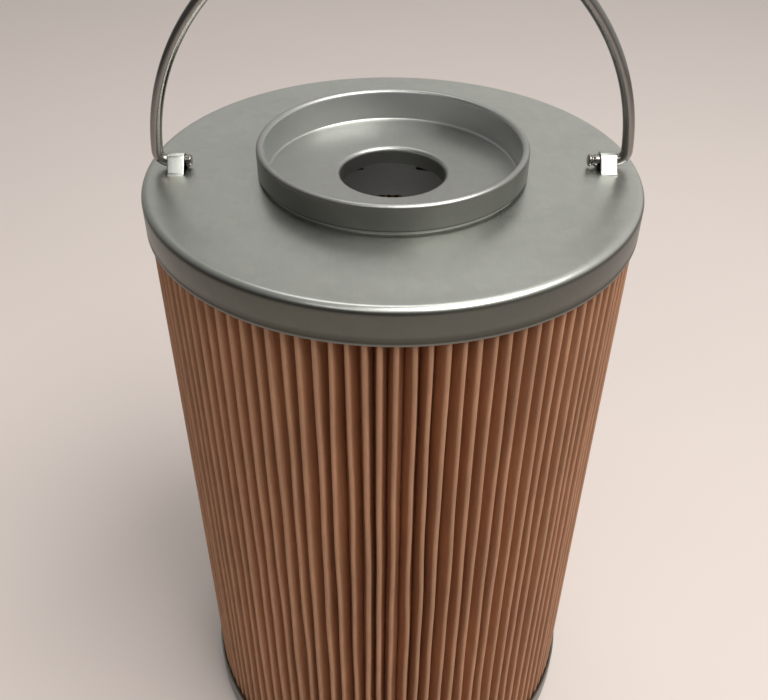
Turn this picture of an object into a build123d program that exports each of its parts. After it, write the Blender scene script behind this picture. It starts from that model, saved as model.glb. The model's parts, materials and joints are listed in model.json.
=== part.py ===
"""Pleated hydraulic filter element with a wire bail handle.

Frame: origin at the centre of the bottom face, +Z up, the bail's pivot axis along X.
All sizes are in millimetres.
"""
from build123d import *
from math import acos, atan2, cos, degrees, radians, sin, tan
import os

# ---------------------------------------------------------------- driving dimensions
# Body
body_height = 232.0         # lower face of the bottom cap to upper face of the top cap
cap_radius = 75.0           # outside of both end caps
cap_sheet = 0.8             # steel of the end caps
cap_rim_height = 11.2       # outside height of each cap's turned rim
cap_bend = 1.8              # outside bend radius where a cap's face meets its rim

# Cup on the top cap
cup_sheet = 1.1             # steel of the cup
cup_bore_radius = 38.25     # inside of the cup's wall
cup_fold_gap = 0.25         # between the wall and the skin folded down outside it
cup_height = 8.9            # top of the folded rim above the cap
cup_floor_bend = 2.0        # inside radius between wall and floor
cup_skin_lift = 1.0         # gap between the hanging outer wall and the cap
port_radius = 16.4          # bore of the neck through the cup's floor
port_bend = 2.85            # rounded lip where the floor turns down into the neck
port_straight = 4.2         # straight length of the neck's bore
curl_radius = 1.7           # mid-sheet radius of the curl that clinches the neck

# Bail and its lugs
wire_diameter = 3.5
pivot_height = 2.3          # pivot axis above the top cap
bail_inset = 4.4            # from the cap's edge in to the wire's centre line
bail_foot_bend = 3.0        # wire centre line where each foot turns inward
left_reach = 2.3            # wire end past its lug's inner side, at -X
right_reach = 3.6           # the same at +X, where the end is nipped
wire_end_round = 0.6        # softened edge of each cut end
nip_radius = 0.9            # jaw that nipped a waist behind the right end
nip_depth = 0.4
nip_setback = 2.3           # from the right end to the middle of its waist
pin_clearance = 0.05        # radial running fit of the wire under a lug
lug_inset = 7.5             # from the cap's edge in to a lug's outer side
lug_width = 5.1
lug_slope = 52.0            # degrees, flanks of the bridge from the cap's plane
lug_foot_bend = 2.0         # mid-sheet radius where the bridge leaves the sheet
lug_overlap = 0.3           # length of sheet shared where a bridge runs into its cap

# Pleated media
pleat_count = 108
rim_gap = 0.2               # between the ridges and a cap's rim
tube_gap = 1.2              # between the roots and the centre tube
paper = 0.7
ridge_half_width = 1.0      # half the width of a ridge, over the paper
ridge_crown = 0.45          # rise of a ridge's rounded crown
root_half_width = 0.95      # half the width of a root, over the paper
root_crown = 0.3            # rise of a root's rounded crown
pleat_wander = 0.11         # unevenness of the ridges, as a share of the pitch
quick_wander = 2.4          # radians of the two waves of unevenness, for each pleat
slow_wander = 0.9

# Centre tube
tube_radius = 45.0
tube_wall = 0.8
tube_hole_size = 9.0        # square punched holes
tube_holes_round = 10
tube_hole_rows = 11
tube_end_land = 14.0        # from a tube end to the first row of holes

# Adhesive rings
bond_depth = 3.0
bond_lap = 2.0              # adhesive inside the tube
bond_clearance = 0.1        # between the adhesive and a cap's rim

# Outlet in the bottom cap
outlet_radius = 16.0        # bore of the grommet
grommet_wall = 4.0          # from the bore to the sheet's edge
grommet_flange = 4.0        # lip past the sheet's edge
grommet_clearance = 0.1     # between the grommet's groove and the sheet's edge
seat_land = 7.0             # flat of the raised seat outside the grommet
recess_depth = 4.5          # how far the seat is pressed up into the element
recess_run = 3.0            # radial run of the seat's sloping wall
recess_bend = 1.5           # mid-sheet bends of the seat
grommet_lip_below = 3.2     # lip under the seat's sheet
grommet_lip_above = 3.6     # lip over the seat's sheet
grommet_edge = 0.8          # bevelled edges of the lips

# ---------------------------------------------------------------- derived sizes
half_sheet = cap_sheet / 2
half_cup = cup_sheet / 2
wire_radius = wire_diameter / 2
pivot_z = body_height + pivot_height
media_low = cap_sheet + bond_depth
media_height = body_height - 2 * media_low
cup_outer_radius = cup_bore_radius + 2 * cup_sheet + cup_fold_gap
bail_radius = cap_radius - bail_inset
lug_inner_face = cap_radius - lug_inset - lug_width
media_radius = cap_radius - cap_sheet - rim_gap
media_bore_radius = tube_radius + tube_gap
outlet_hole_radius = outlet_radius + grommet_wall
grommet_flange_radius = outlet_hole_radius + grommet_flange
recess_radius = grommet_flange_radius + seat_land


def pressed_sheet(points, bends, thickness):
    """Section of a pressed sheet: its mid line with rounded bends, given the sheet's thickness."""
    with BuildSketch(Plane.XZ) as section:
        with BuildLine():
            FilletPolyline(*points, radius=bends)
        trace(line_width=thickness)
    return section.sketch


# ---------------------------------------------------------------- top cap
neck_mid = port_radius + half_cup
neck_bend_mid = port_bend - half_cup
cap_hole_radius = neck_mid + neck_bend_mid

crown_radius = wire_radius + pin_clearance + half_sheet
sheet_mid_z = body_height - half_sheet
apex_z = pivot_z + crown_radius / cos(radians(lug_slope))
lug_knee = (apex_z - sheet_mid_z) / tan(radians(lug_slope))
lug_foot = lug_knee + lug_foot_bend * tan(radians(lug_slope / 2))

with BuildPart() as top_cap:
    rim_mid = cap_radius - half_sheet
    revolve(
        pressed_sheet(
            [
                (cap_hole_radius, sheet_mid_z),
                (rim_mid, sheet_mid_z),
                (rim_mid, body_height - cap_rim_height),
            ],
            [cap_bend - half_sheet],
            cap_sheet,
        ),
        axis=Axis.Z,
    )
    with BuildSketch(Plane.XY.offset(body_height)) as lanced_slots:
        with Locations((lug_inner_face + lug_width / 2, 0), (-lug_inner_face - lug_width / 2, 0)):
            Rectangle(lug_width, 2 * lug_foot)
    extrude(amount=-cap_sheet, mode=Mode.SUBTRACT)
    for side in (1, -1):
        with BuildSketch(Plane.YZ.offset(side * lug_inner_face)) as bridge:
            with BuildLine():
                FilletPolyline(
                    (-lug_foot - lug_overlap, sheet_mid_z),
                    (-lug_knee, sheet_mid_z),
                    (0, apex_z),
                    (lug_knee, sheet_mid_z),
                    (lug_foot + lug_overlap, sheet_mid_z),
                    radius=[lug_foot_bend, crown_radius, lug_foot_bend],
                )
            trace(line_width=cap_sheet)
        extrude(amount=side * lug_width)

# ---------------------------------------------------------------- cup
cup_wall_mid = cup_bore_radius + half_cup
cup_skin_mid = cup_outer_radius - half_cup
cup_fold = (cup_skin_mid - cup_wall_mid) / 2
fold_z = body_height + cup_height - half_cup
floor_z = body_height + half_cup
neck_end_z = body_height + cup_sheet - port_bend - port_straight
curl_mid = neck_mid + 2 * curl_radius
curl_top_z = body_height - cap_sheet

with BuildPart() as top_cup:
    with BuildSketch(Plane.XZ) as cup_section:
        with BuildLine() as cup_mid_line:
            Line((cup_skin_mid, body_height + cup_skin_lift), (cup_skin_mid, fold_z - cup_fold))
            CenterArc((cup_wall_mid + cup_fold, fold_z - cup_fold), cup_fold, 0, 180)
            FilletPolyline(
                (cup_wall_mid, fold_z - cup_fold),
                (cup_wall_mid, floor_z),
                (neck_mid, floor_z),
                (neck_mid, neck_end_z),
                radius=[cup_floor_bend + half_cup, neck_bend_mid],
            )
            CenterArc((neck_mid + curl_radius, neck_end_z), curl_radius, 180, 180)
            Line((curl_mid, neck_end_z), (curl_mid, curl_top_z))
        trace(line_width=cup_sheet)
    revolve(axis=Axis.Z)

# ---------------------------------------------------------------- bail handle
left_end = -(lug_inner_face - left_reach)
right_end = lug_inner_face - right_reach
pivot_line = Axis((0, 0, pivot_z), (1, 0, 0))

with BuildPart() as bail_handle:
    with BuildLine(Plane.XZ) as bail_path:
        Line((left_end, pivot_z), (-bail_radius, pivot_z))
        CenterArc((0, pivot_z), bail_radius, 0, 180)
        Line((bail_radius, pivot_z), (right_end, pivot_z))
        corners = bail_path.vertices().filter_by_position(Axis.X, -bail_radius, -bail_radius)
        corners += bail_path.vertices().filter_by_position(Axis.X, bail_radius, bail_radius)
        fillet(corners, radius=bail_foot_bend)
    with BuildSketch(Plane(origin=(left_end, 0, pivot_z), z_dir=(-1, 0, 0))) as wire_section:
        Circle(wire_radius)
    sweep()
    cut_ends = bail_handle.faces().filter_by(GeomType.PLANE)
    fillet(cut_ends.edges(), radius=wire_end_round)
    with BuildSketch(Plane.XZ) as nipping_jaw:
        with Locations((right_end + nip_setback, pivot_z + wire_radius + nip_radius - nip_depth)):
            Circle(nip_radius)
    revolve(axis=pivot_line, mode=Mode.SUBTRACT)

# ---------------------------------------------------------------- pleated media
pitch = 360 / pleat_count
ridge_centre_radius = media_radius - ridge_crown
root_centre_radius = media_bore_radius + root_crown


def polar(radius, angle):
    """Point at a radius and an angle in degrees."""
    return Vector(radius * cos(radians(angle)), radius * sin(radians(angle)))


def ridge_angle(index):
    """Where a ridge stands, in degrees: even pitch with a small uneven wander."""
    step = index % pleat_count
    turn = 360 * (index // pleat_count)
    wander = sin(quick_wander * step) + sin(slow_wander * (step + 1))
    return turn + pitch * (step + pleat_wander * wander)


def root_angle(index):
    """A root stands midway between its two ridges."""
    return (ridge_angle(index) + ridge_angle(index + 1)) / 2


def flank(ridge_at, root_at, outer):
    """Ends of one straight face of the paper between a ridge and a root.

    The outer face leaves a ridge at its full half width and a root at a half width less the
    paper, the inner face the other way round. Its far end runs on to the crease in the fold.
    """
    ridge_centre = polar(ridge_centre_radius, ridge_at)
    root_centre = polar(root_centre_radius, root_at)
    across = root_centre - ridge_centre
    both_widths = ridge_half_width + root_half_width - paper
    side = 1 if root_at > ridge_at else -1
    lean = degrees(acos(both_widths / across.length))
    normal = polar(1, degrees(atan2(across.Y, across.X)) - side * lean)
    ridge_offset = ridge_half_width if outer else ridge_half_width - paper
    on_ridge = ridge_centre + normal * ridge_offset
    on_root = root_centre - normal * (both_widths - ridge_offset)
    along = (on_root - on_ridge).normalized()
    if outer:
        return on_ridge, on_root - along * (paper - root_crown)
    return on_ridge + along * (paper - ridge_crown), on_root


def outer_face_of_paper():
    """Closed outer line of the star: rounded ridges, creased roots."""
    for index in range(pleat_count):
        ridge_left, _ = flank(ridge_angle(index), root_angle(index - 1), True)
        ridge_right, root_left = flank(ridge_angle(index), root_angle(index), True)
        ridge_next, root_right = flank(ridge_angle(index + 1), root_angle(index), True)
        ThreePointArc(ridge_left, polar(media_radius, ridge_angle(index)), ridge_right)
        Polyline(ridge_right, root_left, root_right, ridge_next)


def inner_face_of_paper():
    """Closed inner line of the star: creased ridges, rounded roots."""
    for index in range(pleat_count):
        ridge_left, _ = flank(ridge_angle(index), root_angle(index - 1), False)
        ridge_right, root_left = flank(ridge_angle(index), root_angle(index), False)
        ridge_next, root_right = flank(ridge_angle(index + 1), root_angle(index), False)
        Polyline(ridge_left, ridge_right, root_left)
        ThreePointArc(root_left, polar(media_bore_radius, root_angle(index)), root_right)
        Line(root_right, ridge_next)


with BuildPart() as filter_media:
    with BuildSketch(Plane.XY.offset(media_low)) as star:
        with BuildLine():
            outer_face_of_paper()
        make_face()
        with BuildLine():
            inner_face_of_paper()
        make_face(mode=Mode.SUBTRACT)
    extrude(amount=media_height)

# ---------------------------------------------------------------- centre tube
row_pitch = (media_height - 2 * tube_end_land) / (tube_hole_rows - 1)
hole_step = 360 / tube_holes_round
tube_cutter_depth = 3 * tube_wall

with BuildPart() as center_tube:
    with BuildSketch(Plane.XY.offset(media_low)) as tube_section:
        Circle(tube_radius)
        Circle(tube_radius - tube_wall, mode=Mode.SUBTRACT)
    extrude(amount=media_height)
    for row in range(tube_hole_rows):
        row_z = media_low + tube_end_land + row * row_pitch
        stagger = hole_step / 2 * (row % 2)
        with Locations(Location((0, 0, row_z))):
            with PolarLocations(tube_radius - tube_wall / 2, tube_holes_round, start_angle=stagger):
                Box(tube_cutter_depth, tube_hole_size, tube_hole_size, mode=Mode.SUBTRACT)

# ---------------------------------------------------------------- adhesive rings
bond_outer_radius = cap_radius - cap_sheet - bond_clearance
bond_inner_radius = tube_radius - tube_wall - bond_lap


def adhesive_ring(low_z):
    """Flat ring of set adhesive between a cap and the ends of the paper and the tube."""
    with BuildPart() as ring:
        with BuildSketch(Plane.XY.offset(low_z)):
            Circle(bond_outer_radius)
        extrude(amount=bond_depth)
        chamfer(ring.edges().filter_by(GeomType.CIRCLE), length=cap_bend - cap_sheet)
        with BuildSketch(Plane.XY.offset(low_z)):
            Circle(bond_inner_radius)
        extrude(amount=bond_depth, mode=Mode.SUBTRACT)
    return ring.part


bottom_bond = adhesive_ring(cap_sheet)
top_bond = adhesive_ring(body_height - cap_sheet - bond_depth)

# ---------------------------------------------------------------- bottom cap
seat_mid_z = recess_depth + half_sheet

with BuildPart() as bottom_cap:
    revolve(
        pressed_sheet(
            [
                (outlet_hole_radius, seat_mid_z),
                (recess_radius, seat_mid_z),
                (recess_radius + recess_run, half_sheet),
                (cap_radius - half_sheet, half_sheet),
                (cap_radius - half_sheet, cap_rim_height),
            ],
            [recess_bend, recess_bend, cap_bend - half_sheet],
            cap_sheet,
        ),
        axis=Axis.Z,
    )

# ---------------------------------------------------------------- outlet grommet
groove_radius = outlet_hole_radius - grommet_clearance

with BuildPart() as outlet_seal:
    with BuildSketch(Plane.XZ) as seal_section:
        with BuildLine():
            Polyline(
                (outlet_radius, recess_depth - grommet_lip_below),
                (grommet_flange_radius, recess_depth - grommet_lip_below),
                (grommet_flange_radius, recess_depth),
                (groove_radius, recess_depth),
                (groove_radius, recess_depth + cap_sheet),
                (grommet_flange_radius, recess_depth + cap_sheet),
                (grommet_flange_radius, recess_depth + cap_sheet + grommet_lip_above),
                (outlet_radius, recess_depth + cap_sheet + grommet_lip_above),
                close=True,
            )
        make_face()
        lip_corners = seal_section.vertices().group_by(Axis.Y)
        chamfer(lip_corners[0] + lip_corners[-1], length=grommet_edge)
    revolve(axis=Axis.Z)

# ---------------------------------------------------------------- one file for each piece
pieces = {
    "top_cap": top_cap.part,
    "top_cup": top_cup.part,
    "bail_handle": bail_handle.part,
    "filter_media": filter_media.part,
    "center_tube": center_tube.part,
    "top_bond": top_bond,
    "bottom_bond": bottom_bond,
    "bottom_cap": bottom_cap.part,
    "outlet_seal": outlet_seal.part,
}
os.makedirs("parts", exist_ok=True)
for name, piece in pieces.items():
    piece.label = name
    export_step(piece, f"parts/{name}.step")
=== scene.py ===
"""Looks of the pleated filter element: metres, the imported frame's own axes."""
import json
import random
from math import acos, atan2, cos, pi, radians, sin, sqrt, tan

import bmesh
import bpy
from mathutils import Matrix, Vector


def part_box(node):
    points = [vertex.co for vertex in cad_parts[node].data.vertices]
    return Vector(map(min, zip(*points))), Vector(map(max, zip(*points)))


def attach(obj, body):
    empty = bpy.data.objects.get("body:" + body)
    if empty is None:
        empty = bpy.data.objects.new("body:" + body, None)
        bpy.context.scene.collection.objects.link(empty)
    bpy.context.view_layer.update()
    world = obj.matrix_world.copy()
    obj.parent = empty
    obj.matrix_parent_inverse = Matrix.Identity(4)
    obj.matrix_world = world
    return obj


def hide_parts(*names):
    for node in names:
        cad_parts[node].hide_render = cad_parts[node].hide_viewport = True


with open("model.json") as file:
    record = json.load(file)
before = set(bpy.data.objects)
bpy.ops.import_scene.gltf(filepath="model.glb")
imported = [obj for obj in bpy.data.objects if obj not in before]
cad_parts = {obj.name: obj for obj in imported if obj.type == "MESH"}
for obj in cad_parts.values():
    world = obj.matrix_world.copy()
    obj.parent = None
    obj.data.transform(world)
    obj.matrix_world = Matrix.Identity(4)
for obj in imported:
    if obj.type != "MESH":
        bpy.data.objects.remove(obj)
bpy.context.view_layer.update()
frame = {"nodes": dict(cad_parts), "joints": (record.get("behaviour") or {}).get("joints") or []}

MM = 0.001

# ---------------------------------------------------------------- places, from the frame
CAP_LOW, CAP_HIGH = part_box("top_cap")
_, CUP_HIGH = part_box("top_cup")
BASE_LOW, BASE_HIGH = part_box("bottom_cap")
PAPER_LOW, PAPER_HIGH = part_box("filter_media")
_, BAIL_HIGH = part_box("bail_handle")
TUBE_LOW, TUBE_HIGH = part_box("center_tube")
SEAL_LOW, SEAL_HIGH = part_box("outlet_seal")
BAIL_HINGE = next(joint for joint in frame["joints"] if joint["name"] == "bail_hinge")
PIVOT_Z = BAIL_HINGE["pos_m"][2]

# ---------------------------------------------------------------- sizes: end caps
CAP_RADIUS = CAP_HIGH.x
CAP_SHEET = 0.8 * MM
CAP_RIM = BASE_HIGH.z - BASE_LOW.z
CAP_BEND = 1.8 * MM
CAP_TOP = CAP_LOW.z + CAP_RIM
TOP_BEND = 2.3 * MM             # the top cap's softer bend from face to rim
COLLAR_BEND = 0.5 * MM
CUT_EDGE = 0.12 * MM            # softening of a cut sheet edge
# mm: radius and rise along the face, height and swell down the rim
FACE_DISH = ((58, 0), (66, 0), (68.7, -0.09), (70.6, -0.03), (71.8, -0.01))
LIP_GROOVE = ((2.4, 0), (1.7, -0.16), (1.2, -0.18), (0.7, -0.03), (0.3, 0), (0, 0))
AROUND = 256                    # steps round the big turned pieces

# the bottom cap's raised seat for the outlet
OUTLET_EDGE = 20 * MM
SEAT_FLAT = 31 * MM
SEAT_FOOT = 34 * MM
SEAT_HEIGHT = 4.5 * MM
SEAT_BEND = 1.5 * MM
GROMMET_BORE = 16 * MM
GROMMET_ROUND = 0.8 * MM

# ---------------------------------------------------------------- sizes: cup
CUP_SHEET = 0.7 * MM
CUP_BORE = 38.25 * MM
CUP_FLOOR_DROP = 1.1 * MM       # the floor's upper face below the cap's
CUP_FLOOR_BEND = 0.8 * MM
CUP_SKIN_LIFT = 1.0 * MM        # gap under the skin folded down outside
PORT_RADIUS = 16.0 * MM
PORT_BEND = 1.4 * MM
PORT_STRAIGHT = 4.2 * MM
COLLAR_GAP = 0.125 * MM
# mid line of the cap's upright collar, then mid-sheet radius and height of the cup's folded rim
COLLAR = CUP_BORE + CUP_SHEET + COLLAR_GAP + CAP_SHEET / 2
FOLD = CUP_HIGH.x - CUP_SHEET / 2 - COLLAR
FOLD_Z = CUP_HIGH.z - CUP_SHEET / 2 - FOLD

# ---------------------------------------------------------------- sizes: wire and lugs
WIRE_RADIUS = 1.75 * MM
FOOT_BEND = 3.0 * MM            # the wire's centre line where each foot turns in
PIN_CLEARANCE = 0.05 * MM
LUG_WIDTH = 5.1 * MM
LUG_INSET = 7.5 * MM
LUG_INNER = CAP_RADIUS - LUG_INSET - LUG_WIDTH
LUG_SLOPE = radians(52)
LUG_FOOT_BEND = 2.0 * MM
LUG_OVERLAP = 0.25 * MM
LUG_EDGE = 0.26 * MM            # rounding of a bridge's sheared edges

# ---------------------------------------------------------------- sizes: paper
PLEATS = 108
PITCH = 2 * pi / PLEATS
PAPER = 0.7 * MM
PAPER_INNER = 46.2 * MM
RIDGE_HALF = 0.74 * MM
ROOT_HALF = 0.95 * MM
RIDGE_CROWN = 0.62 * MM
ROOT_CROWN = 0.5 * MM
WANDER = 0.04                   # unevenness of the ridges, as a share of the pitch
LEVELS = 34                     # steps up the paper
# how far along a flank, and how much of its groove it closes there
PUFF_SHAPE = ((0.07, 0.08), (0.13, 0.42), (0.18, 0.95), (0.45, 0.98), (0.75, 0.70))


# ---------------------------------------------------------------- outlines
def arc(centre_x, centre_z, radius, start, end, steps):
    """Points along an arc, angles in degrees."""
    angles = [radians(start + (end - start) * i / steps) for i in range(steps + 1)]
    return [(centre_x + radius * cos(a), centre_z + radius * sin(a)) for a in angles]


def rounded_path(corners, bends, steps=8):
    """A line through the corners with each inner one rounded to its bend radius."""
    path = [corners[0]]
    for i, bend in enumerate(bends, start=1):
        before, here, after = (Vector(corners[i + k]) for k in (-1, 0, 1))
        back, ahead = (before - here).normalized(), (after - here).normalized()
        half = back.angle(ahead) / 2
        reach = bend / tan(half)
        centre = here + (back + ahead).normalized() * (bend / sin(half))
        first, last = here + back * reach - centre, here + ahead * reach - centre
        turn = first.angle_signed(last)
        for k in range(steps + 1):
            spoke = first.copy()
            spoke.rotate(Matrix.Rotation(-turn * k / steps, 2))
            path.append(tuple(centre + spoke))
    path.append(corners[-1])
    return path


def sheet_outline(middle, thickness, edge=CUT_EDGE):
    """Closed outline of bent sheet along its mid line, with softened cut edges."""
    points = [Vector(p) for p in middle]
    sides = []
    for i, p in enumerate(points):
        forward = (points[min(i + 1, len(points) - 1)] - points[max(i - 1, 0)]).normalized()
        sides.append((forward, Vector((-forward.y, forward.x))))
    half = thickness / 2
    left = [p + across * half for p, (_, across) in zip(points, sides)]
    right = [p - across * half for p, (_, across) in zip(points, sides)]
    start, start_across = sides[0]
    finish, finish_across = sides[-1]
    for side in (left, right):
        side[0] = side[0] + start * edge
        side[-1] = side[-1] - finish * edge
    tail, tip = points[0], points[-1]
    near_tip = [tip + finish_across * (half - edge), tip - finish_across * (half - edge)]
    near_tail = [tail - start_across * (half - edge), tail + start_across * (half - edge)]
    return [tuple(p) for p in left + near_tip + right[::-1] + near_tail]


# ---------------------------------------------------------------- mesh helpers
def turned(bm, outline, steps=AROUND):
    """Spins a closed outline of (radius, height) once round the element's axis."""
    verts = [bm.verts.new((r, 0, z)) for r, z in outline]
    edges = [bm.edges.new((verts[i - 1], verts[i])) for i in range(len(verts))]
    bmesh.ops.spin(bm, geom=verts + edges, cent=(0, 0, 0), axis=(0, 0, 1), angle=2 * pi,
                   steps=steps, use_merge=True)
    bmesh.ops.remove_doubles(bm, verts=bm.verts, dist=1e-7)


def finish_mesh(name, bm, crease=32):
    """Turns a bmesh into an object, smooth apart from edges sharper than the crease angle."""
    bmesh.ops.recalc_face_normals(bm, faces=bm.faces)
    for face in bm.faces:
        face.smooth = True
    for edge in bm.edges:
        edge.smooth = len(edge.link_faces) == 2 and edge.calc_face_angle() < radians(crease)
    mesh = bpy.data.meshes.new(name)
    bm.to_mesh(mesh)
    bm.free()
    piece = bpy.data.objects.new(name, mesh)
    bpy.context.scene.collection.objects.link(piece)
    return piece


def seat(piece, material, body, slot, *nodes):
    """Gives a piece its finish and its body, and hides the solids that it stands for."""
    piece.data.materials.clear()
    piece.data.materials.append(material)
    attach(piece, body)
    if nodes:
        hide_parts(*nodes)


# ---------------------------------------------------------------- node helpers
def new_material(name):
    material = bpy.data.materials.new(name)
    material.use_nodes = True
    tree = material.node_tree
    return material, tree, tree.nodes["Principled BSDF"]


def new_group(name, inputs, outputs):
    """A shader node group with (name, kind, default) inputs and (name, kind) outputs."""
    group = bpy.data.node_groups.new(name, "ShaderNodeTree")
    for label, kind, default in inputs:
        socket = group.interface.new_socket(label, in_out="INPUT", socket_type=kind)
        if default is not None:
            socket.default_value = default
    for label, kind in outputs:
        group.interface.new_socket(label, in_out="OUTPUT", socket_type=kind)
    return group, group.nodes.new("NodeGroupInput"), group.nodes.new("NodeGroupOutput")


def node(tree, kind, **settings):
    """A node with its properties and, by name or index, its unlinked inputs set."""
    made = tree.nodes.new(kind)
    for key, value in settings.items():
        if key == "inputs":
            for socket, number in value.items():
                made.inputs[socket].default_value = number
        else:
            setattr(made, key, value)
    return made


def math_node(tree, operation, first, second=None, clamp=False):
    """A Math node whose operands are sockets or numbers."""
    made = node(tree, "ShaderNodeMath", operation=operation, use_clamp=clamp)
    for index, value in enumerate((first, second)):
        if isinstance(value, (int, float)):
            made.inputs[index].default_value = value
        elif value is not None:
            tree.links.new(value, made.inputs[index])
    return made.outputs[0]


def blend_colours(tree, mask, low, high, mode="MIX"):
    """Mixes two colours, each a socket or a value, by a mask socket or number."""
    made = node(tree, "ShaderNodeMix", data_type="RGBA", blend_type=mode)
    for socket, value in ((made.inputs[0], mask), (made.inputs[6], low), (made.inputs[7], high)):
        if isinstance(value, (int, float, tuple)):
            socket.default_value = value
        else:
            tree.links.new(value, socket)
    return made.outputs[2]


def noise(tree, vector, scale, detail=3.0, roughness=0.55):
    settings = {"Scale": scale, "Detail": detail, "Roughness": roughness}
    made = node(tree, "ShaderNodeTexNoise", inputs=settings)
    tree.links.new(vector, made.inputs["Vector"])
    return made.outputs["Fac"]


def ramp(tree, value, low, high, out_low=0.0, out_high=1.0):
    made = node(tree, "ShaderNodeMapRange", inputs={"From Min": low, "From Max": high,
                                                    "To Min": out_low, "To Max": out_high})
    made.interpolation_type = "SMOOTHSTEP"
    tree.links.new(value, made.inputs["Value"])
    return made.outputs["Result"]


def stretched(tree, vector, scale):
    made = node(tree, "ShaderNodeMapping", inputs={"Scale": scale})
    tree.links.new(vector, made.inputs["Vector"])
    return made.outputs["Vector"]


def split_place(tree, place):
    """Height above the floor and distance from the element's axis, as sockets."""
    axes = node(tree, "ShaderNodeSeparateXYZ")
    tree.links.new(place, axes.inputs["Vector"])
    across = math_node(tree, "POWER", axes.outputs["X"], 2.0)
    along = math_node(tree, "POWER", axes.outputs["Y"], 2.0)
    return axes.outputs["Z"], math_node(tree, "SQRT", math_node(tree, "ADD", across, along))


def add_relief(tree, shader, height, strength, distance):
    """Bump from a height socket into a shader's normal."""
    relief = node(tree, "ShaderNodeBump", inputs={"Strength": strength, "Distance": distance})
    tree.links.new(height, relief.inputs["Height"])
    tree.links.new(relief.outputs["Normal"], shader.inputs["Normal"])


# ---------------------------------------------------------------- shared effects
def make_zinc_wear_group():
    """Zinc coat: broad handling clouds, faint crystal patches, fine rub marks and specks."""
    group, given, result = new_group(
        "zinc_wear",
        [("Vector", "NodeSocketVector", None), ("Clouds", "NodeSocketFloat", 0.5),
         ("Crystals", "NodeSocketFloat", 0.5), ("Rubs", "NodeSocketFloat", 0.5)],
        [("Shade", "NodeSocketFloat"), ("Dullness", "NodeSocketFloat"), ("Height", "NodeSocketFloat")],
    )
    vector = given.outputs["Vector"]
    clouds = math_node(group, "SUBTRACT", noise(group, vector, 28, 4), 0.5)
    clouds = math_node(group, "MULTIPLY", clouds, given.outputs["Clouds"])
    cells = node(group, "ShaderNodeTexVoronoi", feature="F1",
                 inputs={"Scale": 330.0, "Randomness": 1.0})
    group.links.new(vector, cells.inputs["Vector"])
    split = node(group, "ShaderNodeSeparateColor")
    group.links.new(cells.outputs["Color"], split.inputs["Color"])
    crystals = math_node(group, "SUBTRACT", split.outputs["Red"], 0.5)
    crystals = math_node(group, "MULTIPLY", crystals, given.outputs["Crystals"])
    rubs = noise(group, stretched(group, vector, (900, 60, 120)), 1.0, 5, 0.7)
    rubs = math_node(group, "SUBTRACT", rubs, 0.5)
    rubs = math_node(group, "MULTIPLY", rubs, given.outputs["Rubs"])
    shade = math_node(group, "ADD", math_node(group, "ADD", clouds, crystals), rubs)
    dull = math_node(group, "SUBTRACT", math_node(group, "MULTIPLY", clouds, 1.5), rubs)
    grain = noise(group, vector, 2600, 3, 0.6)
    height = math_node(group, "ADD", math_node(group, "MULTIPLY", crystals, 0.5), grain)
    group.links.new(shade, result.inputs["Shade"])
    group.links.new(dull, result.inputs["Dullness"])
    group.links.new(height, result.inputs["Height"])
    return group


ZINC_WEAR = make_zinc_wear_group()


def rim_painted_shade(tree, place):
    """How much painted shade darkens a cap's turned rim: from its bend down, most in the groove over
    its lip.
    """
    height = node(tree, "ShaderNodeSeparateXYZ")
    tree.links.new(place, height.inputs["Vector"])
    rim = ramp(tree, height.outputs["Z"], CAP_TOP - 1.4 * MM, CAP_TOP - 0.5 * MM, 1.0, 0.0)
    groove = ramp(tree, height.outputs["Z"], CAP_LOW.z + 1.8 * MM, CAP_LOW.z + 3.4 * MM, 0.98, 0.90)
    lip = ramp(tree, height.outputs["Z"], CAP_LOW.z + 0.5 * MM, CAP_LOW.z + 0.9 * MM, 0.80, 1.0)
    return math_node(tree, "MULTIPLY", math_node(tree, "MULTIPLY", rim, groove), lip)


def cup_painted_light_and_shade(tree, place):
    """Painted light and shade on the cup: painted shade on the outer skin, most at its foot, and
    painted light on the inner wall.
    """
    height, radius = split_place(tree, place)
    skin = ramp(tree, radius, COLLAR + 0.7 * MM, COLLAR + 1.15 * MM)
    foot = ramp(tree, height, CAP_TOP + 1.15 * MM, CAP_TOP + 1.8 * MM, 1.0, 0.65)
    wall = ramp(tree, radius, CUP_BORE - 0.5 * MM, CUP_BORE)
    behind = ramp(tree, radius, CUP_BORE + 0.1 * MM, CUP_BORE + 0.5 * MM, 1.0, 0.0)
    return math_node(tree, "MULTIPLY", skin, foot), math_node(tree, "MULTIPLY", wall, behind)


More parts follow.
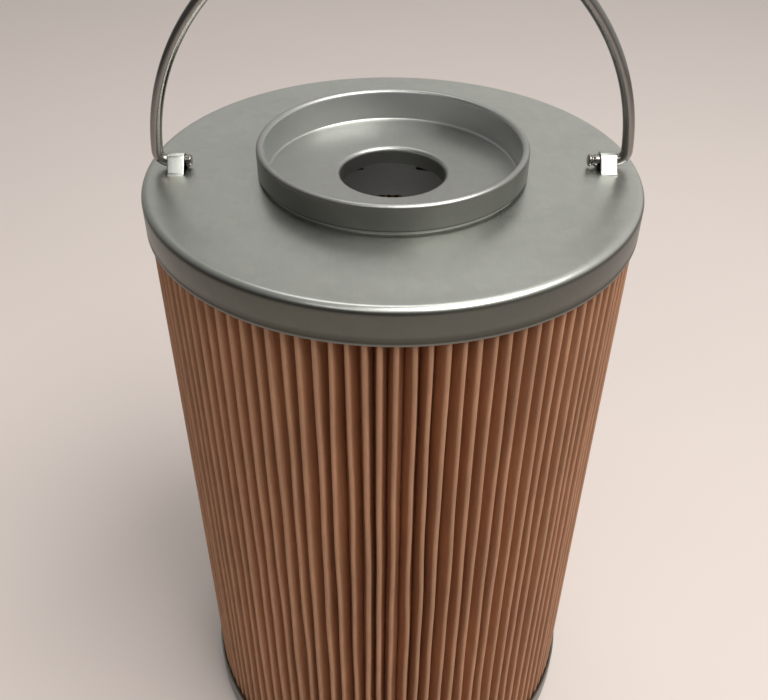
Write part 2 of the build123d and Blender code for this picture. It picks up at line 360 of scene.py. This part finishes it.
def zinc_material(name, dark, light, roughness, crystals=0.16, rubs=0.3, kind="plain"):
    """Satin zinc plate: a metal whose grey and gloss vary with its crystals and handling; the caps and
    the cup also get painted shade, and the cup painted light on its inner wall.
    """
    material, tree, shader = new_material(name)
    place = node(tree, "ShaderNodeTexCoord").outputs["Object"]
    wear = node(tree, "ShaderNodeGroup", node_tree=ZINC_WEAR,
                inputs={"Clouds": 0.5, "Crystals": crystals, "Rubs": rubs})
    tree.links.new(place, wear.inputs["Vector"])
    mask = math_node(tree, "ADD", wear.outputs["Shade"], 0.5, clamp=True)
    colour = blend_colours(tree, mask, dark, light)
    dull = math_node(tree, "MULTIPLY", wear.outputs["Dullness"], 0.25)
    if kind == "cap":
        # painted shade: darkens the top cap's turned rim from its bend down, and all of the bottom cap
        rim = rim_painted_shade(tree, place)
        colour = blend_colours(tree, rim, colour, RIM_PAINTED_SHADE, "MULTIPLY")
        dull = math_node(tree, "ADD", dull, math_node(tree, "MULTIPLY", rim, 0.06))
    if kind == "cup":
        # painted shade on the cup's outer skin, deepest at its foot, and painted light on its inner
        # wall
        skin, wall = cup_painted_light_and_shade(tree, place)
        colour = blend_colours(tree, skin, colour, SKIN_PAINTED_SHADE, "MULTIPLY")
        colour = blend_colours(tree, wall, colour, WALL_PAINTED_LIGHT)
    tree.links.new(colour, shader.inputs["Base Color"])
    tree.links.new(math_node(tree, "ADD", dull, roughness, clamp=True), shader.inputs["Roughness"])
    add_relief(tree, shader, wear.outputs["Height"], 0.03, 0.4 * MM)
    shader.inputs["Metallic"].default_value = 1.0
    return material


def paper_material():
    """Resin-treated kraft paper with fibres and faint stains, and painted shade: a darker, redder
    colour in the grooves.
    """
    material, tree, shader = new_material("kraft_filter_paper")
    place = node(tree, "ShaderNodeTexCoord").outputs["Object"]
    _, radius = split_place(tree, place)
    ridge = ramp(tree, radius, 71.8 * MM, 73.5 * MM)
    fibres = noise(tree, stretched(tree, place, (700, 700, 90)), 1.0, 6, 0.7)
    blotches = noise(tree, stretched(tree, place, (60, 60, 22)), 1.0, 3)
    flecks = noise(tree, stretched(tree, place, (1500, 1500, 500)), 1.0, 2)
    # painted shade: inside the ridges' radius the paper gets a darker, redder colour where the grooves
    # lie in shade
    groove_painted_shade, surface = (0.45, 0.215, 0.110, 1), (0.44, 0.238, 0.142, 1)
    colour = blend_colours(tree, ridge, groove_painted_shade, surface)
    tint = ramp(tree, fibres, 0.3, 0.7, 0.90, 1.08)
    tint = math_node(tree, "MULTIPLY", tint, ramp(tree, blotches, 0.3, 0.7, 0.92, 1.06))
    tint = math_node(tree, "MULTIPLY", tint, ramp(tree, flecks, 0.62, 0.8, 1.0, 0.90))
    tone = node(tree, "ShaderNodeCombineColor")
    for channel in ("Red", "Green", "Blue"):
        tree.links.new(tint, tone.inputs[channel])
    colour = blend_colours(tree, 1.0, colour, tone.outputs["Color"], "MULTIPLY")
    tree.links.new(colour, shader.inputs["Base Color"])
    tree.links.new(ramp(tree, blotches, 0.3, 0.7, 0.70, 0.84), shader.inputs["Roughness"])
    add_relief(tree, shader, fibres, 0.22, 0.3 * MM)
    shader.inputs["Specular IOR Level"].default_value = 0.25
    return material


def adhesive_material():
    """Set adhesive: dark, slightly glossy, with a rippled skin."""
    material, tree, shader = new_material("set_adhesive")
    place = node(tree, "ShaderNodeTexCoord").outputs["Object"]
    ripple = noise(tree, place, 140, 4)
    tree.links.new(blend_colours(tree, ripple, (0.020, 0.019, 0.017, 1), (0.060, 0.055, 0.048, 1)),
                   shader.inputs["Base Color"])
    tree.links.new(ramp(tree, ripple, 0.3, 0.7, 0.35, 0.55), shader.inputs["Roughness"])
    add_relief(tree, shader, ripple, 0.3, 0.5 * MM)
    return material


def rubber_material():
    """Moulded black rubber with a dusty bloom."""
    material, tree, shader = new_material("moulded_black_rubber")
    place = node(tree, "ShaderNodeTexCoord").outputs["Object"]
    bloom = noise(tree, place, 90, 4)
    grain = noise(tree, place, 3000, 2)         # fine enough to read as a matt skin
    tree.links.new(blend_colours(tree, bloom, (0.014, 0.014, 0.014, 1), (0.040, 0.039, 0.037, 1)),
                   shader.inputs["Base Color"])
    tree.links.new(ramp(tree, bloom, 0.3, 0.7, 0.55, 0.72), shader.inputs["Roughness"])
    add_relief(tree, shader, grain, 0.15, 0.2 * MM)
    return material


RIM_PAINTED_SHADE = (0.15, 0.145, 0.130, 1)     # painted shade on the caps' turned rims; the whole bottom cap lies low enough to get it too
SKIN_PAINTED_SHADE = (0.30, 0.30, 0.28, 1)      # painted shade on the cup's outer skin
WALL_PAINTED_LIGHT = (0.62, 0.635, 0.62, 1)    # painted light on the cup's inner wall
ZINC_CAP = zinc_material("zinc_plate_cap", (0.47, 0.485, 0.45, 1), (0.655, 0.67, 0.625, 1),
                         0.30, kind="cap")
ZINC_CUP = zinc_material("zinc_plate_cup", (0.37, 0.375, 0.355, 1), (0.53, 0.535, 0.51, 1),
                         0.36, crystals=0.12, kind="cup")
ZINC_WIRE = zinc_material("zinc_wire", (0.22, 0.21, 0.20, 1), (0.35, 0.33, 0.31, 1),
                          0.17, crystals=0.05, rubs=0.5)
# painted shade: the tube's zinc is darker than the cap's, for its inside seen deep through the port
ZINC_TUBE = zinc_material("zinc_tube", (0.34, 0.34, 0.33, 1), (0.52, 0.52, 0.50, 1), 0.42)
KRAFT_PAPER = paper_material()
ADHESIVE = adhesive_material()
RUBBER = rubber_material()


# ---------------------------------------------------------------- end caps
def cut_lug_slots(bm):
    """Opens the two slots that the bridges were lanced from, through both skins of the face."""
    half_length = lug_foot_reach()
    top = CAP_TOP - 1.5 * CAP_SHEET
    margin = 8 * MM
    lug_outer = LUG_INNER + LUG_WIDTH

    def by_a_lug(spot):
        return abs(spot.y) < 3 * half_length and spot.z > top and abs(spot.x) > LUG_INNER - margin

    planes = [((x, 0, 0), (1, 0, 0)) for x in (LUG_INNER, lug_outer, -LUG_INNER, -lug_outer)]
    planes += [((0, y, 0), (0, 1, 0)) for y in (half_length, -half_length)]
    for point, normal in planes:
        near = [f for f in bm.faces if all(by_a_lug(v.co) for v in f.verts)]
        geometry = near + list({e for f in near for e in f.edges} | {v for f in near for v in f.verts})
        bmesh.ops.bisect_plane(bm, geom=geometry, plane_co=point, plane_no=normal, dist=1e-6)
    inside = []
    for face in bm.faces:
        centre = face.calc_center_median()
        if centre.z > top and abs(centre.y) < half_length and LUG_INNER < abs(centre.x) < lug_outer:
            inside.append(face)
    bmesh.ops.delete(bm, geom=inside, context="FACES")
    for side in (1, -1):
        rim = [e for e in bm.edges if e.is_boundary and e.verts[0].co.x * side > 0]
        bmesh.ops.bridge_loops(bm, edges=rim)


def lug_crown():
    """Mid-sheet radius of a bridge over its wire."""
    return WIRE_RADIUS + PIN_CLEARANCE + CAP_SHEET / 2


def lug_corners():
    """Mid line of a bridge across its wire: (y, z) corners."""
    low = CAP_TOP - CAP_SHEET / 2
    apex = PIVOT_Z + lug_crown() / cos(LUG_SLOPE)
    knee = (apex - low) / tan(LUG_SLOPE)
    return low, apex, knee


def lug_foot_reach():
    """Where a bridge's foot meets the flat of the cap."""
    _, _, knee = lug_corners()
    return knee + LUG_FOOT_BEND * tan(LUG_SLOPE / 2)


def add_lug(bm, side):
    """One bridge of the cap's own sheet, with its sheared edges rounded."""
    low, apex, knee = lug_corners()
    reach = lug_foot_reach() + LUG_OVERLAP
    middle = rounded_path([(-reach, low), (-knee, low), (0, apex), (knee, low), (reach, low)],
                          [LUG_FOOT_BEND, lug_crown(), LUG_FOOT_BEND], 10)
    section = sheet_outline(middle, CAP_SHEET)
    verts = [bm.verts.new((side * LUG_INNER, y, z)) for y, z in section]
    face = bm.faces.new(verts)
    pulled = bmesh.ops.extrude_face_region(bm, geom=[face])["geom"]
    moved = [v for v in pulled if isinstance(v, bmesh.types.BMVert)]
    bmesh.ops.translate(bm, verts=moved, vec=(side * LUG_WIDTH, 0, 0))
    ends = [f for f in bm.faces if len(f.verts) == len(section)]
    rims = [e for f in ends for e in f.edges]
    bmesh.ops.bevel(bm, geom=rims, offset=LUG_EDGE, segments=3, profile=0.5, affect="EDGES",
                    material=-1)


def make_top_cap():
    """Drawn cap: collar for the cup, faintly dished face, rim grooved over its lip, two bridges."""
    low = CAP_TOP - CAP_SHEET / 2
    rim = CAP_RADIUS - CAP_SHEET / 2
    dish = [(radius * MM, low + rise * MM) for radius, rise in FACE_DISH]
    face = rounded_path([(COLLAR, FOLD_Z - 0.1 * MM), (COLLAR, low), dish[0]], [COLLAR_BEND])
    face += dish[1:]
    soft = TOP_BEND - CAP_SHEET / 2
    bend = arc(rim - soft, low - soft, soft, 90, 0, 10)
    wall = [(rim + swell * MM, CAP_LOW.z + height * MM) for height, swell in LIP_GROOVE]
    bm = bmesh.new()
    turned(bm, sheet_outline(face + bend + wall, CAP_SHEET))
    cut_lug_slots(bm)
    for side in (1, -1):
        add_lug(bm, side)
    return finish_mesh("top_cap_sheet", bm)


def make_bottom_cap():
    """Drawn cap like the top one, with the raised seat of the outlet."""
    low = BASE_LOW.z + CAP_SHEET / 2
    rim = CAP_RADIUS - CAP_SHEET / 2
    seat_z = SEAT_HEIGHT + CAP_SHEET / 2
    corners = [(OUTLET_EDGE, seat_z), (SEAT_FLAT, seat_z), (SEAT_FOOT, low),
               (rim, low), (rim, BASE_HIGH.z)]
    middle = rounded_path(corners, [SEAT_BEND, SEAT_BEND, CAP_BEND - CAP_SHEET / 2])
    bm = bmesh.new()
    turned(bm, sheet_outline(middle, CAP_SHEET))
    return finish_mesh("bottom_cap_sheet", bm)


# ---------------------------------------------------------------- cup
def make_cup():
    """Drawn cup: rim folded down over the cap's collar, sunken floor turned down into a neck."""
    wall, skin = COLLAR - FOLD, COLLAR + FOLD
    floor = CAP_TOP - CUP_FLOOR_DROP - CUP_SHEET / 2
    neck = PORT_RADIUS + CUP_SHEET / 2
    lip = PORT_BEND - CUP_SHEET / 2
    middle = [(skin, CAP_TOP + CUP_SKIN_LIFT), (skin - 0.02 * MM, CAP_TOP + 2.0 * MM)]
    middle += arc(COLLAR, FOLD_Z, FOLD, 0, 180, 10)
    corners = [(wall, FOLD_Z), (wall, floor), (neck, floor), (neck, floor - lip - PORT_STRAIGHT)]
    middle += rounded_path(corners, [CUP_FLOOR_BEND + CUP_SHEET / 2, lip])[1:]
    bm = bmesh.new()
    turned(bm, sheet_outline(middle, CUP_SHEET))
    return finish_mesh("cup_sheet", bm)


# ---------------------------------------------------------------- bail
def run_on(bm, loop, offset, scale=(1, 1, 1), pivot=(0, 0, 0)):
    """Extends a tube from its last loop of edges, then scales the new end about a pivot."""
    made = bmesh.ops.extrude_edge_only(bm, edges=loop)["geom"]
    verts = [v for v in made if isinstance(v, bmesh.types.BMVert)]
    bmesh.ops.translate(bm, verts=verts, vec=offset)
    bmesh.ops.scale(bm, verts=verts, vec=scale, space=Matrix.Translation(-Vector(pivot)))
    return [e for e in made if isinstance(e, bmesh.types.BMEdge)]


def turn_on(bm, loop, centre, axis, angle, steps):
    """Extends a tube from its last loop of edges along an arc."""
    verts = list({v for e in loop for v in e.verts})
    spun = bmesh.ops.spin(bm, geom=loop + verts, cent=centre, axis=axis, angle=angle, steps=steps)
    return [e for e in spun["geom_last"] if isinstance(e, bmesh.types.BMEdge)]


def cut_end(bm, loop, start, side, nipped):
    """Carries the wire on past its lug to a soft-edged cut end, with a nipped waist if asked."""
    steps = [(0.6, 1.0), (0.5, 1.0), (0.6, 1.0)]        # mm run, width as a share of the wire's
    if nipped:
        steps += [(0.35, 0.93), (0.25, 0.83), (0.25, 0.83), (0.3, 0.96), (0.3, 1.04)]
    steps += [(0.30, 1.02), (0.22, 0.97), (0.15, 0.87), (0.07, 0.72)]
    x, width = start, 1.0
    for step, wide in steps:
        x += side * step * MM
        grow = wide / width
        loop = run_on(bm, loop, (side * step * MM, 0, 0), (1, grow, grow), (x, 0, PIVOT_Z))
        width = wide
    bmesh.ops.contextual_create(bm, geom=loop)


def make_bail():
    """Bent wire: a half circle, each foot turned in through its lug, one end nipped."""
    reach = BAIL_HIGH.x - WIRE_RADIUS
    bend = FOOT_BEND
    pin_start = LUG_INNER + 0.5 * MM
    bm = bmesh.new()
    around = bmesh.ops.create_circle(bm, cap_ends=False, radius=WIRE_RADIUS, segments=24)["verts"]
    upright = Matrix.Translation((-pin_start, 0, PIVOT_Z)) @ Matrix.Rotation(pi / 2, 4, "Y")
    bmesh.ops.transform(bm, matrix=upright, verts=around)
    first = list({e for v in around for e in v.link_edges})
    centre_x = sqrt((reach - bend) ** 2 - bend ** 2)
    loop = run_on(bm, first, (pin_start - centre_x, 0, 0))
    corner = pi / 2 + atan2(bend, centre_x)
    loop = turn_on(bm, loop, (-centre_x, 0, PIVOT_Z + bend), (0, 1, 0), corner, 10)
    sweep = pi - 2 * atan2(bend, centre_x)
    loop = turn_on(bm, loop, (0, 0, PIVOT_Z), (0, 1, 0), sweep, 96)
    loop = turn_on(bm, loop, (centre_x, 0, PIVOT_Z + bend), (0, 1, 0), corner, 10)
    loop = run_on(bm, loop, (pin_start - centre_x, 0, 0))
    cut_end(bm, loop, pin_start, -1, True)
    cut_end(bm, first, -pin_start, 1, False)
    return finish_mesh("bail_wire", bm, 50)


# ---------------------------------------------------------------- pleated paper
def polar(radius, angle):
    return Vector((radius * cos(angle), radius * sin(angle)))


class Pleat:
    """One fold's own unevenness: how its ridge leans and wavers, how proud it stands and puffs."""

    def __init__(self, index, draw):
        self.angle = PITCH * (index + WANDER * (sin(2.4 * index) + sin(0.9 * index + 1)))
        self.lean = draw.uniform(-0.10, 0.10)
        self.bow = draw.uniform(-0.13, 0.13)
        self.phase = draw.uniform(0, 2 * pi)
        self.ripple = draw.uniform(0.02, 0.06)
        self.sink = draw.uniform(0.0, 0.55) * MM
        self.width = draw.uniform(0.90, 1.08)
        self.puff = draw.uniform(0.88, 1.0)

    def ridge_at(self, share):
        held = sin(pi * share)
        shift = self.lean * (share - 0.5) * held + self.bow * held
        waves = sin(11 * share + self.phase) + 0.5 * sin(29 * share + 2 * self.phase)
        return self.angle + PITCH * (shift + self.ripple * waves * held)

    def radius_at(self, share):
        return PAPER_HIGH.x - self.sink * (0.35 + 0.65 * sin(pi * share))


def flank(ridge_at, root_at, ridge_radius, root_radius, half_width, outer):
    """Ends of one straight face of the paper between a ridge and a root."""
    ridge_centre, root_centre = polar(ridge_radius, ridge_at), polar(root_radius, root_at)
    across = root_centre - ridge_centre
    both_widths = half_width + ROOT_HALF - PAPER
    side = 1 if root_at > ridge_at else -1
    lean = acos(both_widths / across.length)
    normal = polar(1, atan2(across.y, across.x) - side * lean)
    offset = half_width if outer else half_width - PAPER
    on_ridge = ridge_centre + normal * offset
    on_root = root_centre - normal * (both_widths - offset)
    along = (on_root - on_ridge).normalized()
    if outer:
        return on_ridge, on_root - along * (PAPER - ROOT_CROWN) * 0.5
    return on_ridge + along * 0.2 * MM, on_root


def puffed(first, last, root_at, puff):
    """Points of a flank that swells towards the middle of its groove and closes most of it."""
    middle_line = polar(1, root_at)
    points = []
    for share, closing in PUFF_SHAPE:
        point = first.lerp(last, share)
        on_middle = middle_line * point.dot(middle_line)
        points.append(point.lerp(on_middle, closing * puff))
    return points


def crown(first, last, axis_angle, rise, inward, steps):
    """Rounded top of a fold between its two flanks."""
    middle = (first + last) / 2
    out = polar(-1 if inward else 1, axis_angle)
    half = (last - first) / 2
    angles = [pi * (k / steps) for k in range(1, steps)]
    return [middle - half * cos(a) + out * rise * sin(a) for a in angles]


def paper_section(pleats, share):
    """The star's outer and inner lines at one height, as two lists of points, pleat by pleat."""
    outer, inner = [], []
    for i in range(PLEATS):
        here, after, before = pleats[i], pleats[(i + 1) % PLEATS], pleats[i - 1]
        ridge = here.ridge_at(share)
        following = after.ridge_at(share) + (2 * pi if i == PLEATS - 1 else 0)
        previous = before.ridge_at(share) - (2 * pi if i == 0 else 0)
        root, root_before = (ridge + following) / 2, (ridge + previous) / 2
        half = RIDGE_HALF * here.width
        top = here.radius_at(share) - RIDGE_CROWN
        low = PAPER_INNER + ROOT_CROWN
        next_top = after.radius_at(share) - RIDGE_CROWN
        next_half = RIDGE_HALF * after.width
        left, _ = flank(ridge, root_before, top, low, half, True)
        right, root_left = flank(ridge, root, top, low, half, True)
        next_left, root_right = flank(following, root, next_top, low, next_half, True)
        outer += [left, *crown(left, right, ridge, RIDGE_CROWN, False, 7), right]
        outer += [*puffed(right, root_left, root, here.puff), root_left]
        outer += [root_right, *reversed(puffed(next_left, root_right, root, after.puff))]
        in_left, _ = flank(ridge, root_before, top, low, half, False)
        in_right, floor_left = flank(ridge, root, top, low, half, False)
        _, floor_right = flank(following, root, next_top, low, next_half, False)
        floor = crown(floor_left, floor_right, root, ROOT_CROWN, True, 3)
        inner += [in_left, in_right, floor_left, *floor, floor_right]
    return outer, inner


def make_paper():
    """The folded sheet as one closed ribbon, drawn up level by level with each fold's own wander."""
    draw = random.Random(7)
    line_mark = 100000              # keeps a point's line and its place on it in one number
    pleats = [Pleat(i, draw) for i in range(PLEATS)]
    bm = bmesh.new()
    station = bm.verts.layers.int.new("station")
    rings = []
    for number, line in enumerate(paper_section(pleats, 0)):
        verts = [bm.verts.new((p.x, p.y, PAPER_LOW.z)) for p in line]
        for k, vert in enumerate(verts):
            vert[station] = k + line_mark * number
        rings += [bm.edges.new((verts[k - 1], verts[k])) for k in range(len(verts))]
    bottom = rings
    for level in range(1, LEVELS + 1):
        share = level / LEVELS
        lines = paper_section(pleats, share)
        made = bmesh.ops.extrude_edge_only(bm, edges=rings)["geom"]
        rings = [e for e in made if isinstance(e, bmesh.types.BMEdge)]
        for vert in (v for v in made if isinstance(v, bmesh.types.BMVert)):
            number, k = divmod(vert[station], line_mark)
            point = lines[number][k]
            vert.co = (point.x, point.y, PAPER_LOW.z + share * (PAPER_HIGH.z - PAPER_LOW.z))
    for loop in (bottom, rings):
        bmesh.ops.triangle_fill(bm, edges=loop)
    return finish_mesh("pleated_paper", bm, 40)


# ---------------------------------------------------------------- outlet grommet
def make_grommet():
    """Moulded grommet with rounded lips round the outlet's sheet edge."""
    seat_low, seat_high = SEAT_HEIGHT, SEAT_HEIGHT + CAP_SHEET
    bore, lip, groove, soft = GROMMET_BORE, SEAL_HIGH.x, OUTLET_EDGE, GROMMET_ROUND
    low, high = SEAL_LOW.z, SEAL_HIGH.z
    outline = arc(bore + soft, low + soft, soft, 180, 270, 5)
    outline += arc(lip - soft, low + soft, soft, 270, 360, 5)
    outline += [(lip, seat_low), (groove, seat_low), (groove, seat_high), (lip, seat_high)]
    outline += arc(lip - soft, high - soft, soft, 0, 90, 5)
    outline += arc(bore + soft, high - soft, soft, 90, 180, 5)
    bm = bmesh.new()
    turned(bm, outline, 160)
    return finish_mesh("outlet_grommet", bm)


# ---------------------------------------------------------------- build and seat the pieces
seat(make_top_cap(), ZINC_CAP, "element", "zinc_plate", "top_cap")
seat(make_bottom_cap(), ZINC_CAP, "element", "zinc_plate", "bottom_cap")
seat(make_cup(), ZINC_CUP, "element", "zinc_plate", "top_cup")
seat(make_bail(), ZINC_WIRE, "bail", "zinc_wire", "bail_handle")
seat(make_paper(), KRAFT_PAPER, "element", "filter_paper", "filter_media")
seat(make_grommet(), RUBBER, "element", "black_rubber", "outlet_seal")
for cad_name, finish in (("center_tube", ZINC_TUBE), ("top_bond", ADHESIVE), ("bottom_bond", ADHESIVE)):
    solid = frame["nodes"][cad_name]
    solid.data.materials.clear()
    solid.data.materials.append(finish)


# ---------------------------------------------------------------- floor, lights, camera
def make_floor():
    bm = bmesh.new()
    bmesh.ops.create_grid(bm, x_segments=1, y_segments=1, size=6)
    floor = finish_mesh("studio_floor", bm)
    material, tree, shader = new_material("studio_floor_paint")
    place = node(tree, "ShaderNodeTexCoord").outputs["Object"]
    mottle = noise(tree, place, 6, 2)
    tree.links.new(blend_colours(tree, mottle, (0.74, 0.66, 0.62, 1), (0.77, 0.69, 0.65, 1)),
                   shader.inputs["Base Color"])
    shader.inputs["Roughness"].default_value = 0.6
    floor.data.materials.append(material)


def add_softbox(name, place, target, size, power, colour=(1, 1, 1)):
    lamp = bpy.data.lights.new(name, "AREA")
    lamp.shape = "RECTANGLE"
    lamp.size, lamp.size_y = size
    lamp.energy = power
    lamp.color = colour
    light = bpy.data.objects.new(name, lamp)
    bpy.context.scene.collection.objects.link(light)
    light.location = place
    light.rotation_euler = (Vector(target) - Vector(place)).to_track_quat("-Z", "Y").to_euler()


def add_inner_fill():
    """A faint glow inside the centre tube, so that the port doesn't read as a black disc."""
    lamp = bpy.data.lights.new("inner_fill", "POINT")
    lamp.energy = 0.018
    lamp.shadow_soft_size = 12 * MM
    light = bpy.data.objects.new("inner_fill", lamp)
    bpy.context.scene.collection.objects.link(light)
    light.location = (0, 0, (TUBE_LOW.z + TUBE_HIGH.z) / 2)
    light.visible_camera = False


def set_world():
    """A room that is brighter behind and to the right than in front and to the left."""
    world = bpy.data.worlds.new("soft_studio")
    world.use_nodes = True
    tree = world.node_tree
    towards = node(tree, "ShaderNodeSeparateXYZ")
    tree.links.new(node(tree, "ShaderNodeTexCoord").outputs["Generated"], towards.inputs["Vector"])
    level = 0.315
    for axis, share in (("X", 0.28), ("Y", 0.20), ("Z", 0.12)):
        level = math_node(tree, "ADD", math_node(tree, "MULTIPLY", towards.outputs[axis], share), level)
    level = math_node(tree, "MAXIMUM", level, 0.1)
    sky = tree.nodes["Background"]
    sky.inputs["Color"].default_value = (1.0, 0.98, 0.95, 1)
    tree.links.new(level, sky.inputs["Strength"])
    bpy.context.scene.world = world


def set_camera():
    """Stands in front: steep, close, a touch left of centre."""
    pitch, yaw, roll = radians(37.94), radians(0.85), radians(0.36)
    forward = Vector((sin(yaw) * cos(pitch), cos(yaw) * cos(pitch), -sin(pitch)))
    right = Vector((cos(yaw), -sin(yaw), 0))
    up = right.cross(forward)
    level, upright = right * cos(roll) + up * sin(roll), up * cos(roll) - right * sin(roll)
    place = Vector((-5.96 * MM, -247.69 * MM, CAP_TOP + 122.70 * MM))
    lens = bpy.data.cameras.new("view")
    lens.sensor_width = 36.0
    lens.lens = 41.78
    lens.clip_start = 0.01
    camera = bpy.data.objects.new("view", lens)
    bpy.context.scene.collection.objects.link(camera)
    turn = Matrix((level, upright, -forward)).transposed().to_4x4()
    camera.matrix_world = Matrix.Translation(place) @ turn
    bpy.context.scene.camera = camera


make_floor()
add_softbox("window", (0.445, -0.323, 1.23), (0, 0, 0.2), (0.9, 0.7), 13.0, (1.0, 0.98, 0.95))
add_inner_fill()
add_softbox("front_panel", (-0.30, -0.85, 1.25), (0, 0, 0.2), (0.75, 0.3), 1.2)
add_softbox("ceiling_panel", (0.0, 0.45, 1.25), (0, 0, 0.2), (0.7, 0.3), 1.4)
set_world()
set_camera()
bpy.context.scene.view_settings.view_transform = "Standard"
